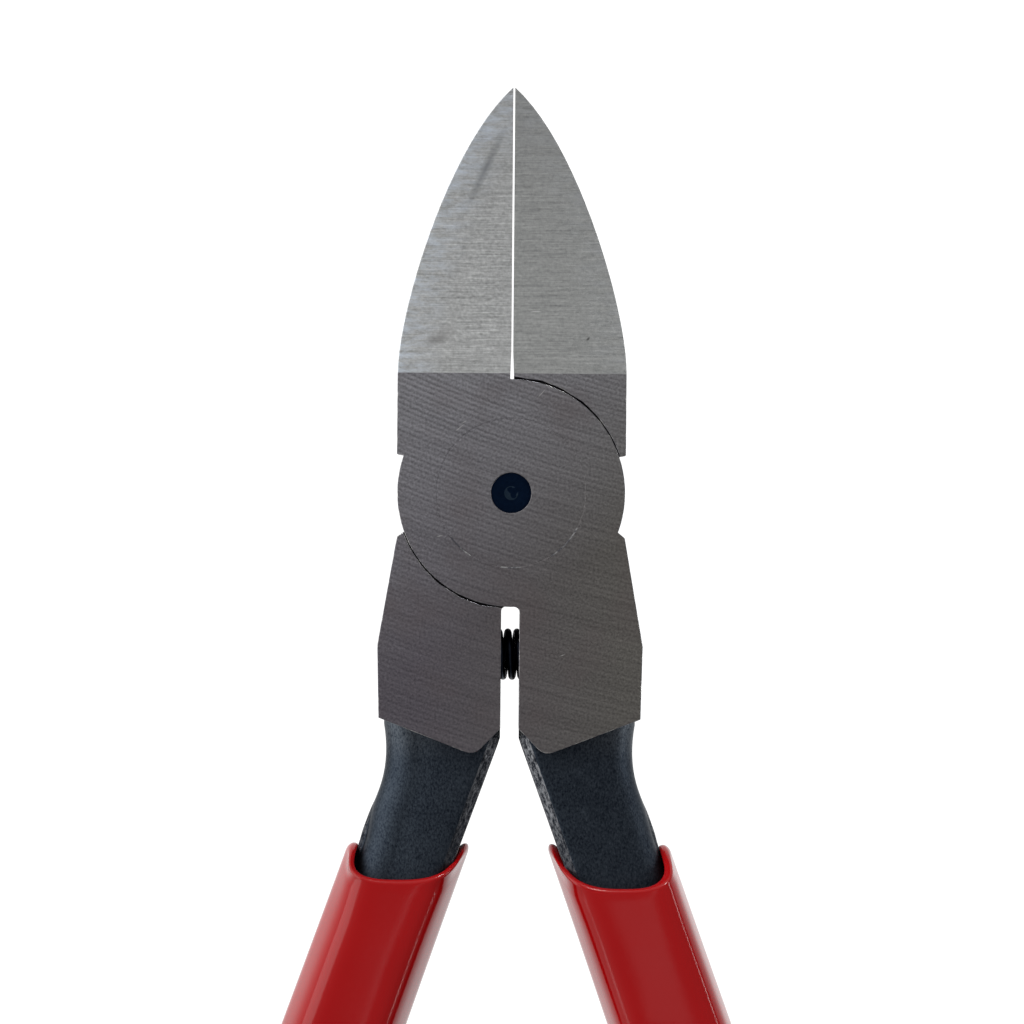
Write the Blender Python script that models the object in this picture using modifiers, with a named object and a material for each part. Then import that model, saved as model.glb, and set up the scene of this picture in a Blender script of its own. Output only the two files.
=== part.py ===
# Gate cutter: a lap-jointed plastic nipper of two forged halves, a rivet, a coil spring and vinyl sleeves.
# It lies on its back, closed, with its flush face up.
# The pivot axis is Z through the origin, and the tip points to +Y.
import math

import bmesh
import bpy
from mathutils import Matrix, Vector
from mathutils.geometry import interpolate_bezier

MM = 0.001

# Head: everything is measured from the pivot axis, and the joint's back face lies at Z = 0.
JOINT_THICKNESS = 10.0 * MM
DISC_RADIUS = 10.0 * MM
HEAD_HALF_WIDTH = 10.05 * MM
TIP_REACH = 35.6 * MM
LAP_LINE = 10.5 * MM
LEDGE_HEIGHT = 3.33 * MM

# Clearances: between the two lapped layers, round the discs, along the cutting edges and round the rivet.
LAYER_GAP = 0.1 * MM
DISC_GAP = 0.3 * MM
EDGE_GAP = 0.16 * MM
FIXED_RIVET_GAP = 0.05 * MM
RUNNING_RIVET_GAP = 0.1 * MM

# Blade: the outline is one curve from the lap line to the tip, with these handle lengths.
ROOT_PULL = 5.5 * MM
TIP_PULL = 7.4 * MM
TIP_ANGLE = math.radians(48.7)
RELIEF_TOP = 12.4 * MM
RELIEF_GAP = 0.32 * MM
FLUSH_SLOPE = math.radians(1.2)
BACK_TAPER = math.radians(15.0)

# Hollow-ground bevel behind each cutting edge: an arc from the edge down to the spine of the blade.
EDGE_LAND = 0.15 * MM
BEVEL_WIDTH = 8.2 * MM
BEVEL_DEPTH = 9.7 * MM
EDGE_ANGLE = math.radians(28.0)
THROAT = 11.4 * MM
THROAT_ROUND = 2.4 * MM

# Shank: the ground pad below the joint, on the handle side of each half.
SLOT_WIDTH = 1.6 * MM
STOP_CORNER = Vector((10.0, -3.9)) * MM
KNEE = Vector((11.65, -13.4)) * MM
FOOT = Vector((11.5, -19.8)) * MM
HEEL = Vector((3.1, -23.05)) * MM
SLOT_END = -20.7 * MM
HEEL_ROUND = 1.3 * MM
STOP_CHAMFER = Vector((0.83, -0.7)) * MM
SLOT_FILLET = 0.45 * MM

# Neck: a straight bar from the pad into the sleeve, whose outer edge flares where it grows out of the pad.
NECK_TOE = Vector((0.86, -21.7)) * MM
NECK_HEADING = math.radians(20.0)
NECK_WIDTH = 8.42 * MM
NECK_THICKNESS = 7.2 * MM
NECK_LENGTH = 19.0 * MM
NECK_ROOT = -18.5 * MM
FLARE = 1.83 * MM
FLARE_START = 1.87 * MM
FLARE_END = 7.8 * MM
NECK_ROUND = 2.1 * MM
NECK_TRIM = 0.95 * MM

# Handle: its centreline bends outwards, runs straight, bows back in and ends slightly turned in.
HANDLE_START = Vector((5.75, -18.8)) * MM
START_HEADING = math.radians(5.0)
HANDLE_HEADING = math.radians(19.5)
END_HEADING = math.radians(-5.0)
BEND_RUN = 10.0 * MM
STRAIGHT_RUN = 20.5 * MM
BOW_RUN = 53.5 * MM
END_RUN = 22.0 * MM
HANDLE_LENGTH = BEND_RUN + STRAIGHT_RUN + BOW_RUN + END_RUN
TANG_WIDTH = 8.4 * MM
TANG_THICKNESS = 7.6 * MM
TANG_CHAMFER = Vector((1.1, 1.9)) * MM
TANG_START = 17.0 * MM
TANG_END_GAP = 5.5 * MM

# Sleeve: a rounded tube round the tang, with a mouth whose front and back lips dip below its sides.
SLEEVE_WALL = 0.7 * MM
SLEEVE_FIT = 0.2 * MM
SLEEVE_ROUND = 2.6 * MM
MOUTH_AT = 12.5 * MM
MOUTH_DIP = 3.6 * MM
MOUTH_FADE = 9.0 * MM
PALM_SWELL = 1.06
SLEEVE_NOSE = 4.5 * MM

# Rivet: flush countersunk heads on a plain shank, with a blind centre hole in the front head.
RIVET_HEAD_RADIUS = 6.58 * MM
RIVET_SHANK_RADIUS = 4.2 * MM
RIVET_CONE = 2.4 * MM
CENTRE_HOLE_RADIUS = 1.77 * MM
CENTRE_HOLE_DEPTH = 3.4 * MM
DIMPLE_RADIUS = 0.55 * MM
DIMPLE_DEPTH = 0.9 * MM

# Spring: a compression coil across the slot, with each end in a blind pocket in a shank.
SPRING_REACH = -14.2 * MM
SPRING_DIAMETER = 4.56 * MM
WIRE_DIAMETER = 0.6 * MM
SPRING_TURNS = 8.5
POCKET_RADIUS = 2.5 * MM
POCKET_DEPTH = 4.6 * MM
SEAT_GAP = 0.3 * MM

# Resolution of the curved faces.
ROUND_STEPS = 96
BLADE_STEPS = 22
CORNER_STEPS = 4
THROAT_STEPS = 3
NOSE_STEPS = 6
FLARE_STEPS = 8
MOUTH_STEP = 2.0 * MM
BOW_STEP = 4.0 * MM
POINTS_PER_CURL = 10
ROUND_SHARP_ANGLE = math.radians(30.0)
GROUND_SHARP_ANGLE = math.radians(12.0)
FLAT_ANGLE = math.radians(1.0)
WELD = 0.001 * MM
PAST = 2.0 * MM  # how far a cutter runs past the face it cuts

MID_LAYER = JOINT_THICKNESS / 2
UNDER_DISC = 0.75 * DISC_RADIUS  # where outlines end, safely inside the disc that joins them


# Scene set-up

def clear_scene():
    for obj in list(bpy.data.objects):
        bpy.data.objects.remove(obj)


def new_collection(name):
    collection = bpy.data.collections.new(name)
    bpy.context.scene.collection.children.link(collection)
    return collection


def material(name, colour, roughness, metallic):
    made = bpy.data.materials.new(name)
    made.use_nodes = True
    shader = made.node_tree.nodes["Principled BSDF"]
    shader.inputs["Base Color"].default_value = (*colour, 1.0)
    shader.inputs["Roughness"].default_value = roughness
    shader.inputs["Metallic"].default_value = metallic
    return made


# Building blocks

def link_mesh(name, mesh):
    obj = bpy.data.objects.new(name, mesh)
    CUTTERS.objects.link(obj)
    obj.hide_render = True
    obj.display_type = "WIRE"
    return obj


def mesh_from_bmesh(name, shape):
    bmesh.ops.recalc_face_normals(shape, faces=shape.faces)
    mesh = bpy.data.meshes.new(name)
    shape.to_mesh(mesh)
    shape.free()
    return link_mesh(name, mesh)


def mesh_from_curve(obj):
    """A welded mesh object in the place of a curve object, which is removed."""
    bpy.context.view_layer.update()
    evaluated = obj.evaluated_get(bpy.context.evaluated_depsgraph_get())
    mesh = bpy.data.meshes.new_from_object(evaluated)
    shape = bmesh.new()
    shape.from_mesh(mesh)
    shape.transform(obj.matrix_world)
    bmesh.ops.remove_doubles(shape, verts=shape.verts, dist=WELD)
    name = obj.name
    bpy.data.objects.remove(obj)
    bpy.data.meshes.remove(mesh)
    return mesh_from_bmesh(name, shape)


def poly_curve(name, points, dimensions, cyclic):
    curve = bpy.data.curves.new(name, "CURVE")
    curve.dimensions = dimensions
    spline = curve.splines.new("POLY")
    spline.points.add(len(points) - 1)
    for knot, point in zip(spline.points, points):
        knot.co = (*Vector(point).to_3d(), 1.0)
    spline.use_cyclic_u = cyclic
    obj = bpy.data.objects.new(name, curve)
    CUTTERS.objects.link(obj)
    obj.hide_render = True
    return obj


def plate(name, outline, low, high, placing=None):
    """A flat outline extruded from low to high along its own Z, then placed."""
    obj = poly_curve(name, outline, "2D", True)
    obj.data.fill_mode = "BOTH"
    obj.data.extrude = (high - low) / 2
    obj.matrix_world = (placing or Matrix()) @ Matrix.Translation((0, 0, (low + high) / 2))
    return mesh_from_curve(obj)


def box(name, low, high, placing):
    """A box between two corners in its own axes, then placed."""
    shape = bmesh.new()
    bmesh.ops.create_cube(shape, size=1.0)
    size = Vector(high) - Vector(low)
    middle = (Vector(high) + Vector(low)) / 2
    bmesh.ops.scale(shape, vec=size, verts=shape.verts)
    bmesh.ops.translate(shape, vec=middle, verts=shape.verts)
    shape.transform(placing)
    return mesh_from_bmesh(name, shape)


def cylinder(name, radius, low, high, placing=None):
    shape = bmesh.new()
    bmesh.ops.create_cone(
        shape, cap_ends=True, segments=ROUND_STEPS, radius1=radius, radius2=radius, depth=high - low
    )
    bmesh.ops.translate(shape, vec=(0, 0, (low + high) / 2), verts=shape.verts)
    if placing:
        shape.transform(placing)
    return mesh_from_bmesh(name, shape)


def turned(name, profile):
    """A profile of (radius, height) points, top to bottom, turned about Z."""
    mesh = bpy.data.meshes.new(name)
    points = [(radius, 0, height) for radius, height in profile]
    mesh.from_pydata(points, [(i, i + 1) for i in range(len(points) - 1)], [])
    obj = link_mesh(name, mesh)
    screw = obj.modifiers.new("turn", "SCREW")
    screw.steps = screw.render_steps = ROUND_STEPS
    screw.use_merge_vertices = True
    screw.merge_threshold = WELD
    return obj


def combine(obj, other, operation):
    step = obj.modifiers.new(f"{operation.lower()} {other.name}", "BOOLEAN")
    step.operation = operation
    step.object = other
    step.solver = "EXACT"


def arc_points(centre, radius, start, end, steps):
    angles = [start + (end - start) * i / steps for i in range(steps + 1)]
    return [Vector(centre) + radius * Vector((math.cos(a), math.sin(a))) for a in angles]


def mirrored(points, side):
    return [Vector((side * point.x, point.y)) for point in map(Vector, points)]


def settle(obj, sharp_angle):
    """Turns an object's modifiers into its mesh, which is shaded smooth but for its sharp edges."""
    bpy.context.view_layer.update()
    evaluated = obj.evaluated_get(bpy.context.evaluated_depsgraph_get())
    obj.data = bpy.data.meshes.new_from_object(evaluated)
    obj.modifiers.clear()
    obj.data.shade_smooth()
    obj.data.set_sharp_from_angle(angle=sharp_angle)


def finish_part(obj, finish, parent, sharp_angle=ROUND_SHARP_ANGLE):
    """Moves a built object from the cutters to the parts, with its material and its carrier."""
    CUTTERS.objects.unlink(obj)
    PARTS.objects.link(obj)
    obj.hide_render = False
    obj.display_type = "TEXTURED"
    if obj.type == "MESH":
        settle(obj, sharp_angle)
    obj.data.materials.clear()
    obj.data.materials.append(finish)
    obj.parent = parent


# Head

def blade_outline(side):
    """One blade and its shoulder, from the tip to the ledge. The lower inner points lie under the disc."""
    edge = EDGE_GAP / 2
    tip = Vector((edge, TIP_REACH))
    root = Vector((HEAD_HALF_WIDTH, LAP_LINE))
    tip_handle = tip + TIP_PULL * Vector((math.sin(TIP_ANGLE), -math.cos(TIP_ANGLE)))
    root_handle = root + Vector((0, ROOT_PULL))
    knots = [point.to_3d() for point in (root, root_handle, tip_handle, tip)]
    outer = interpolate_bezier(*knots, BLADE_STEPS)
    inner = [
        Vector((edge, RELIEF_TOP)),
        Vector((RELIEF_GAP / 2, LAP_LINE)),
        Vector((RELIEF_GAP / 2, UNDER_DISC)),
        Vector((UNDER_DISC, LEDGE_HEIGHT)),
        Vector((HEAD_HALF_WIDTH, LEDGE_HEIGHT)),
    ]
    return mirrored([point.to_2d() for point in outer] + inner, side)


def shank_outline(side):
    """The ground pad of one shank. Its upper points lie under the disc."""
    inner = SLOT_WIDTH / 2
    toe = Vector((inner, SLOT_END))
    to_foot = (FOOT - HEEL).normalized()
    to_toe = (toe - HEEL).normalized()
    half_corner = to_foot.angle(to_toe) / 2
    centre = HEEL + (to_foot + to_toe).normalized() * HEEL_ROUND / math.sin(half_corner)
    middle = math.atan2(HEEL.y - centre.y, HEEL.x - centre.x)
    sweep = math.pi / 2 - half_corner
    heel = arc_points(centre, HEEL_ROUND, middle + sweep, middle - sweep, CORNER_STEPS)
    fillet_centre = (inner - SLOT_FILLET, -DISC_RADIUS - SLOT_FILLET)
    slot_top = arc_points(fillet_centre, SLOT_FILLET, 0, math.pi / 2, CORNER_STEPS)
    return mirrored(
        [
            Vector((inner - SLOT_FILLET, -UNDER_DISC)),
            STOP_CORNER - STOP_CHAMFER,
            STOP_CORNER,
            KNEE,
            FOOT,
            *heel,
            toe,
            *slot_top,
        ],
        side,
    )


def flush_placing():
    return Matrix.Translation((0, LAP_LINE, JOINT_THICKNESS)) @ Matrix.Rotation(-FLUSH_SLOPE, 4, "X")


def blade_cutters():
    """The shapes that grind both blades: the flush face, the tapered back and the hollow behind the edges."""
    reach = TIP_REACH - LAP_LINE + 2 * PAST
    wide = HEAD_HALF_WIDTH + PAST
    flush = box("flush_grind", (-wide, 0, 0), (wide, reach, PAST), flush_placing())
    back_place = Matrix.Translation((0, LAP_LINE, 0)) @ Matrix.Rotation(BACK_TAPER, 4, "X")
    back = box("back_grind", (-wide, 0, -JOINT_THICKNESS), (wide, reach, 0), back_place)
    return flush, back, bevel_cutter()


def bevel_cutter():
    """A pointed arch with its apex along the cutting edges, under the flush face, and a rounded throat."""
    chord = math.atan2(BEVEL_DEPTH, BEVEL_WIDTH)
    half_turn = chord - EDGE_ANGLE
    radius = math.hypot(BEVEL_DEPTH, BEVEL_WIDTH) / (2 * math.sin(half_turn))
    centre = Vector((-radius * math.sin(EDGE_ANGLE), -radius * math.cos(EDGE_ANGLE)))
    start = math.pi / 2 - EDGE_ANGLE
    right = arc_points(centre, radius, start, start - 2 * half_turn, 2 * CORNER_STEPS)
    foot = [Vector((BEVEL_WIDTH, -BEVEL_DEPTH - PAST)), Vector((-BEVEL_WIDTH, -BEVEL_DEPTH - PAST))]
    left = mirrored(right[:0:-1], -1)
    length = TIP_REACH - THROAT + PAST
    upright = Matrix.Rotation(math.pi / 2, 4, "X")
    placing = flush_placing() @ Matrix.Translation((0, THROAT - LAP_LINE, -EDGE_LAND)) @ upright
    cutter = plate("bevel_grind", right + foot + left, -length, 0, placing)
    round_throat(cutter)
    return cutter


def round_throat(cutter):
    """Rounds the rim of the cutter's end face, as the edge of a grinding wheel leaves it."""
    shape = bmesh.new()
    shape.from_mesh(cutter.data)
    bmesh.ops.dissolve_limit(shape, angle_limit=FLAT_ANGLE, verts=shape.verts, edges=shape.edges)
    end_face = min(shape.faces, key=lambda face: face.calc_center_median().y)
    rim = [edge for edge in end_face.edges if max(vert.co.z for vert in edge.verts) > 0]
    bmesh.ops.bevel(
        shape, geom=rim, offset=THROAT_ROUND, segments=THROAT_STEPS, profile=0.5, affect="EDGES", material=-1
    )
    bmesh.ops.recalc_face_normals(shape, faces=shape.faces)
    shape.to_mesh(cutter.data)
    shape.free()


# Handles

def handle_point(distance):
    """The place and heading on the right handle's centreline, this far from its start."""
    runs = (
        (BEND_RUN, START_HEADING, HANDLE_HEADING),
        (STRAIGHT_RUN, HANDLE_HEADING, HANDLE_HEADING),
        (BOW_RUN, HANDLE_HEADING, END_HEADING),
        (END_RUN, END_HEADING, END_HEADING),
    )
    place = HANDLE_START.copy()
    for length, first, last in runs:
        run = min(distance, length)
        heading = first + (last - first) * run / length
        middle = (first + heading) / 2
        half_turn = (heading - first) / 2
        chord = run * (math.sin(half_turn) / half_turn if half_turn else 1.0)
        place += chord * Vector((math.sin(middle), -math.cos(middle)))
        distance -= run
        if distance <= 0:
            break
    return place, heading


def swell(distance):
    """How the handle's section grows from the sleeve's mouth towards the palm and falls back at the end."""
    along = (distance - MOUTH_AT) / (HANDLE_LENGTH - MOUTH_AT)
    return 1 + (PALM_SWELL - 1) * math.sin(math.pi * min(max(along, 0), 1)) ** 2


def neck_axes():
    along = Vector((math.sin(NECK_HEADING), -math.cos(NECK_HEADING)))
    outward = Vector((math.cos(NECK_HEADING), math.sin(NECK_HEADING)))
    return along, outward


def neck_outline():
    """The right neck from the front: a straight inner edge, and an outer edge that flares to the pad."""
    along, outward = neck_axes()
    end = NECK_TOE + along * NECK_LENGTH
    outer = [end + outward * NECK_WIDTH]
    for i in range(FLARE_STEPS + 1):
        share = i / FLARE_STEPS
        distance = FLARE_END + (FLARE_START - FLARE_END) * share
        outer.append(NECK_TOE + along * distance + outward * (NECK_WIDTH + FLARE * share**2))
    root = [Vector((outer[-1].x - FLARE, NECK_ROOT)), Vector((NECK_TOE.x, NECK_ROOT))]
    return [NECK_TOE, end, *outer, *root]


def neck(side):
    """The forged bar between pad and sleeve, with round outer edges and trimmed inner ones."""
    half = NECK_THICKNESS / 2
    bar = plate("neck", mirrored(neck_outline(), side), MID_LAYER - half, MID_LAYER + half)
    outward = neck_axes()[1]
    outward = Vector((side * outward.x, outward.y, 0))
    shape = bmesh.new()
    shape.from_mesh(bar.data)
    bmesh.ops.dissolve_limit(shape, angle_limit=FLAT_ANGLE, verts=shape.verts, edges=shape.edges)
    for facing, offset, steps in ((1, NECK_ROUND, CORNER_STEPS), (-1, NECK_TRIM, 1)):
        walls = [face for face in shape.faces if face.normal.dot(outward) * facing > 0.5]
        rims = {edge for face in walls for edge in face.edges if is_level(edge)}
        bmesh.ops.bevel(
            shape, geom=list(rims), offset=offset, segments=steps, profile=0.5, affect="EDGES", material=-1
        )
    bmesh.ops.recalc_face_normals(shape, faces=shape.faces)
    shape.to_mesh(bar.data)
    shape.free()
    return bar


def is_level(edge):
    return abs(edge.verts[0].co.z - edge.verts[1].co.z) < WELD


def tang_section():
    x = TANG_WIDTH / 2
    y = TANG_THICKNESS / 2
    corner = [(x, y - TANG_CHAMFER.y), (x - TANG_CHAMFER.x, y)]
    return corner + [(-a, b) for a, b in corner[::-1]] + [(-a, -b) for a, b in corner] + [
        (a, -b) for a, b in corner[::-1]
    ]


def sleeve_section():
    x = TANG_WIDTH / 2 + SLEEVE_FIT + SLEEVE_WALL
    y = TANG_THICKNESS / 2 + SLEEVE_FIT + SLEEVE_WALL
    section = []
    for corner, (sx, sy) in enumerate(((1, 1), (-1, 1), (-1, -1), (1, -1))):
        centre = (sx * (x - SLEEVE_ROUND), sy * (y - SLEEVE_ROUND))
        start = corner * math.pi / 2
        section += arc_points(centre, SLEEVE_ROUND, start, start + math.pi / 2, CORNER_STEPS)
    return section


def sweep(name, section, stations, side, capped):
    """A section carried along the handle, at stations of (distance, scale)."""
    profile = poly_curve(name + "_section", section, "2D", True)
    places = [handle_point(distance)[0] for distance, _ in stations]
    spine = poly_curve(name, [(side * p.x, p.y, MID_LAYER) for p in places], "3D", False)
    spine.data.twist_mode = "Z_UP"
    spine.data.bevel_mode = "OBJECT"
    spine.data.bevel_object = profile
    spine.data.use_fill_caps = capped
    for knot, (_, scale) in zip(spine.data.splines[0].points, stations):
        knot.radius = scale
    swept = mesh_from_curve(spine)
    bpy.data.objects.remove(profile)
    return swept


def steps_between(first, last, step):
    count = max(1, round((last - first) / step))
    return [first + (last - first) * i / count for i in range(count + 1)]


def tang(side):
    """The part of the forging that the sleeve hides, from inside the neck to near the handle's end."""
    straight = BEND_RUN + STRAIGHT_RUN
    bow = steps_between(straight, HANDLE_LENGTH - TANG_END_GAP, BOW_STEP)
    stations = [(distance, swell(distance)) for distance in [TANG_START] + bow]
    return sweep("tang", tang_section(), stations, side, True)


def sleeve(name, side):
    """The vinyl sleeve: a swept skin, closed by a round nose, given its wall by a Solidify modifier."""
    straight = BEND_RUN + STRAIGHT_RUN
    nose_start = HANDLE_LENGTH - SLEEVE_NOSE
    body = steps_between(MOUTH_AT, straight, MOUTH_STEP) + steps_between(straight, nose_start, BOW_STEP)[1:]
    stations = [(distance, swell(distance)) for distance in body]
    quarter = [math.pi / 2 * i / NOSE_STEPS for i in range(1, NOSE_STEPS + 1)]
    end_scale = swell(nose_start)
    stations += [(nose_start + SLEEVE_NOSE * math.sin(a), end_scale * math.cos(a)) for a in quarter]
    skin = sweep(name, sleeve_section(), stations, side, False)
    shape_mouth(skin, side)
    wall = skin.modifiers.new("wall", "SOLIDIFY")
    wall.thickness = SLEEVE_WALL
    wall.offset = -1
    wall.use_even_offset = True
    return skin


def shape_mouth(skin, side):
    """Turns the mouth square to the tool's length and dips its front and back lips."""
    place, heading = handle_point(MOUTH_AT)
    along = Vector((side * math.sin(heading), -math.cos(heading)))
    outward = Vector((math.cos(heading), side * math.sin(heading))) * side
    half_thickness = TANG_THICKNESS / 2 + SLEEVE_FIT + SLEEVE_WALL
    start = Vector((side * place.x, place.y))
    for vert in skin.data.vertices:
        offset = vert.co.to_2d() - start
        fade = max(0, 1 - max(0, offset.dot(along)) / MOUTH_FADE)
        height = (vert.co.z - MID_LAYER) / half_thickness
        shift = offset.dot(outward) * math.tan(heading) + MOUTH_DIP * height**2
        vert.co += (fade * shift * along).to_3d()


# The two halves

def rivet_profile(gap):
    """Half the rivet's outer outline, top to bottom, grown by a gap."""
    head = RIVET_HEAD_RADIUS + gap
    shank = RIVET_SHANK_RADIUS + gap
    return [
        (head, JOINT_THICKNESS),
        (shank, JOINT_THICKNESS - RIVET_CONE),
        (shank, RIVET_CONE),
        (head, 0),
    ]


def rivet_bore(name, gap):
    head = RIVET_HEAD_RADIUS + gap
    top = JOINT_THICKNESS + PAST
    return turned(name, [(0, top), (head, top), *rivet_profile(gap), (head, -PAST), (0, -PAST)])


def forged_half(name, blade_side, own_layer, other_layer, rivet_gap, cutters):
    """One half: its blade on one side, its disc in one layer, and its shank and tang on the other side."""
    flush, back, bevel = cutters
    handle_side = -blade_side
    half = plate(name, blade_outline(blade_side), 0, JOINT_THICKNESS)
    for cutter in (flush, back, bevel):
        combine(half, cutter, "DIFFERENCE")
    combine(half, plate(name + "_shank", shank_outline(handle_side), 0, JOINT_THICKNESS), "UNION")
    room = cylinder(name + "_disc_room", DISC_RADIUS + DISC_GAP, *other_layer)
    combine(half, room, "DIFFERENCE")
    combine(half, cylinder(name + "_disc", DISC_RADIUS, *own_layer), "UNION")
    combine(half, neck(handle_side), "UNION")
    combine(half, tang(handle_side), "UNION")
    combine(half, rivet_bore(name + "_bore", rivet_gap), "DIFFERENCE")
    combine(half, spring_pocket(name + "_pocket", handle_side), "DIFFERENCE")
    return half


def spring_pocket(name, side):
    along_x = Matrix.Translation((0, SPRING_REACH, MID_LAYER)) @ Matrix.Rotation(side * math.pi / 2, 4, "Y")
    return cylinder(name, POCKET_RADIUS, 0, SLOT_WIDTH / 2 + POCKET_DEPTH, along_x)


# Small parts

def pivot_rivet():
    floor = JOINT_THICKNESS - CENTRE_HOLE_DEPTH
    hole = [
        (0, floor - DIMPLE_DEPTH),
        (DIMPLE_RADIUS, floor - DIMPLE_DEPTH / 2),
        (CENTRE_HOLE_RADIUS, floor),
        (CENTRE_HOLE_RADIUS, JOINT_THICKNESS),
    ]
    return turned("pivot_rivet", hole + rivet_profile(0) + [(0, 0)])


def spring_points():
    """The wire's centreline: a helix along X, with each end run straight onto the floor of its pocket."""
    radius = (SPRING_DIAMETER - WIRE_DIAMETER) / 2
    end = SLOT_WIDTH / 2 + POCKET_DEPTH - SEAT_GAP
    coil_end = end - WIRE_DIAMETER
    steps = round(SPRING_TURNS * POINTS_PER_CURL)
    points = []
    for i in range(steps + 1):
        turn = 2 * math.pi * SPRING_TURNS * i / steps
        x = coil_end * (2 * i / steps - 1)
        y = SPRING_REACH + radius * math.cos(turn)
        z = MID_LAYER + radius * math.sin(turn)
        points.append(Vector((x, y, z)))
    first = points[0] - Vector((WIRE_DIAMETER, 0, 0))
    last = points[-1] + Vector((WIRE_DIAMETER, 0, 0))
    return [first, *points, last]


def least_gap(points):
    """The least distance between turns of the wire, surface to surface."""
    apart = POINTS_PER_CURL // 2
    nearest = min(
        (a - b).length for i, a in enumerate(points) for b in points[i + apart:]
    )
    return nearest - WIRE_DIAMETER


def return_spring():
    points = spring_points()
    print(f"return_spring: least gap between turns {least_gap(points) / MM:.2f} mm")
    coil = poly_curve("return_spring", points, "3D", False)
    coil.data.bevel_depth = WIRE_DIAMETER / 2
    coil.data.bevel_resolution = 1
    coil.data.use_fill_caps = True
    return coil


def carrier(name):
    """An empty on the pivot axis, which carries the pieces of one moving half."""
    empty = bpy.data.objects.new(name, None)
    PARTS.objects.link(empty)
    return empty


def build():
    steel = material("forged_tool_steel", (0.12, 0.115, 0.115), 0.42, 1.0)
    rivet_steel = material("rivet_steel", (0.13, 0.125, 0.125), 0.4, 1.0)
    wire = material("black_spring_wire", (0.02, 0.02, 0.025), 0.35, 1.0)
    vinyl = material("red_vinyl", (0.42, 0.012, 0.012), 0.22, 0.0)

    low = MID_LAYER - LAYER_GAP / 2
    high = MID_LAYER + LAYER_GAP / 2
    top = JOINT_THICKNESS
    cutters = blade_cutters()
    front = forged_half("front_half", -1, (high, top), (-PAST, high), FIXED_RIVET_GAP, cutters)
    rear = forged_half("rear_half", 1, (0, low), (low, top + PAST), RUNNING_RIVET_GAP, cutters)

    front_carrier = carrier("front_half_carrier")
    rear_carrier = carrier("rear_half_carrier")
    finish_part(front, steel, front_carrier, GROUND_SHARP_ANGLE)
    finish_part(rear, steel, rear_carrier, GROUND_SHARP_ANGLE)
    finish_part(pivot_rivet(), rivet_steel, front_carrier)
    finish_part(return_spring(), wire, front_carrier)
    finish_part(sleeve("right_grip", 1), vinyl, front_carrier)
    finish_part(sleeve("left_grip", -1), vinyl, rear_carrier)


clear_scene()
PARTS = new_collection("gate_cutter")
CUTTERS = new_collection("cutters")
build()
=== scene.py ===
import math

import bmesh
import bpy
from mathutils import Matrix, Vector


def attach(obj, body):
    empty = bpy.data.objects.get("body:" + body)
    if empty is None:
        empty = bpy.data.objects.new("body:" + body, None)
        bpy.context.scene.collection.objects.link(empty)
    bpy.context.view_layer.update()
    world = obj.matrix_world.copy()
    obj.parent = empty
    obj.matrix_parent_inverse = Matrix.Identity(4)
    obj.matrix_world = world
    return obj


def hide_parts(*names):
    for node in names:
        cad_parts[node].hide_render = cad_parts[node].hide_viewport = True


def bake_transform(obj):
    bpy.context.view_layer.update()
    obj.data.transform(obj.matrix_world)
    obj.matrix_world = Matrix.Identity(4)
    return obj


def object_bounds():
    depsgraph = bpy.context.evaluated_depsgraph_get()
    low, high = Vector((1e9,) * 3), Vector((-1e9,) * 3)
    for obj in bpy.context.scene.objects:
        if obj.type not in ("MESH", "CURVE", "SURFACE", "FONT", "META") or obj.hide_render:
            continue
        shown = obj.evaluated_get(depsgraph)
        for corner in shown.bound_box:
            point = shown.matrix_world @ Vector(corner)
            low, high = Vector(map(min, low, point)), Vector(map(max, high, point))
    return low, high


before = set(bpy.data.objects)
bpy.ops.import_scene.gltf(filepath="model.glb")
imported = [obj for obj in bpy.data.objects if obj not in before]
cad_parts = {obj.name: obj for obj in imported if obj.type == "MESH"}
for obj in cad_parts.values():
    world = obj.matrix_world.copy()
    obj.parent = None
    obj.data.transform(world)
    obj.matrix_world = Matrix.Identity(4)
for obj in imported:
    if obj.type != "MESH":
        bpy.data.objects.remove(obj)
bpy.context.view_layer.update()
mm = 0.001
print("frame loaded:", ", ".join(sorted(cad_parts)))


# Small helpers

def linearColour(hexCode):  # sRGB hex to the linear values that sockets take
    shares = [int(hexCode[i:i + 2], 16) / 255 for i in (1, 3, 5)]
    linear = [part / 12.92 if part <= 0.04045 else ((part + 0.055) / 1.055) ** 2.4 for part in shares]
    return (*linear, 1.0)


def addNode(tree, kind, settings=None, links=None):
    node = tree.nodes.new("ShaderNode" + kind)
    for key, value in (settings or {}).items():
        if isinstance(key, str) and hasattr(node, key):
            setattr(node, key, value)
        else:
            node.inputs[key].default_value = value
    for key, socket in (links or {}).items():
        tree.links.new(socket, node.inputs[key])
    return node


def startMaterial(name):
    material = bpy.data.materials.new(name)
    material.use_nodes = True
    tree = material.node_tree
    return material, tree, tree.nodes["Principled BSDF"]


def loftRings(bm, rings):  # one closed skin through rings of equally many points
    knot = bm.verts.layers.int.new("knot")
    ring = bmesh.ops.create_circle(bm, segments=len(rings[0]), radius=1.0)["verts"]
    for index, vert in enumerate(ring):
        vert[knot] = index
    for points in rings:
        if points is not rings[0]:
            edges = {edge for vert in ring for edge in vert.link_edges if not edge.is_manifold}
            extruded = bmesh.ops.extrude_edge_only(bm, edges=list(edges))["geom"]
            ring = [part for part in extruded if isinstance(part, bmesh.types.BMVert)]
        for vert in ring:
            vert.co = points[vert[knot]]
    bmesh.ops.holes_fill(bm, edges=[edge for edge in bm.edges if edge.is_boundary])


def objectFrom(bm, name, materials):
    mesh = bpy.data.meshes.new(name)
    bm.to_mesh(mesh)
    bm.free()
    for material in materials:
        mesh.materials.append(material)
    made = bpy.data.objects.new(name, mesh)
    bpy.context.scene.collection.objects.link(made)
    return made


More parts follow.
